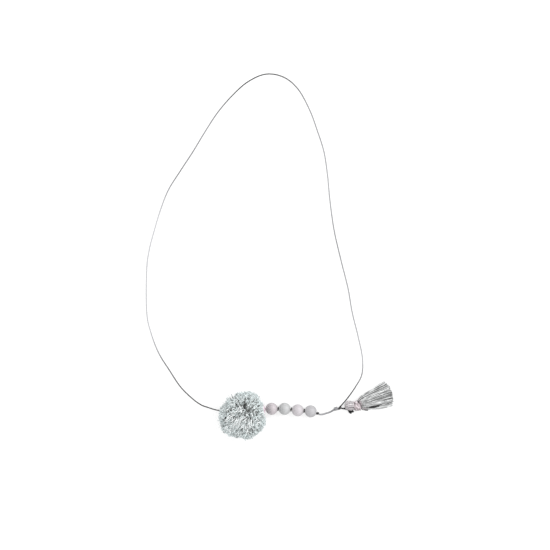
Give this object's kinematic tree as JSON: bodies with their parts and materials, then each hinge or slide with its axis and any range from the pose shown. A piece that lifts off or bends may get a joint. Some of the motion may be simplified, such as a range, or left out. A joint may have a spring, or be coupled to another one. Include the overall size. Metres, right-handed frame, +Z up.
{
  "type": "pompom necklace",
  "caption": "Pull-over necklace: a thin cord loop with a yarn pompom, a row of round wooden beads and a small tassel, lying on a surface.",
  "frame": {"origin": "on the surface that the necklace lies on, under the middle of the row of pompom, beads and tassel", "axes": "+X along the row from the pompom to the tassel, +Y up the neck loop away from the row, +Z up from the surface"},
  "size_m": [0.2059, 0.3023, 0.0378],
  "materials": {
    "grey_cord": "satin",
    "mint_yarn": "satin",
    "pale_pink_wood": "matte",
    "mauve_wood": "matte",
    "light_grey_wood": "matte",
    "mid_grey_wood": "matte",
    "dark_cord": "matte",
    "mauve_thread": "satin",
    "pink_thread": "satin",
    "grey_thread": "satin"
  },
  "bodies": {
    "root": {"neck_cord": "grey_cord", "pompom": "mint_yarn", "bead_1": "pale_pink_wood", "bead_2": "mauve_wood", "bead_3": "light_grey_wood", "bead_4": "pale_pink_wood", "bead_5": "mid_grey_wood", "bead_cord": "grey_cord", "loop_knot": "grey_cord", "tassel_cord": "dark_cord", "tassel_head": "mauve_thread", "tassel_binding": "pink_thread", "tassel_skirt": "grey_thread"}
  },
  "joints": []
}
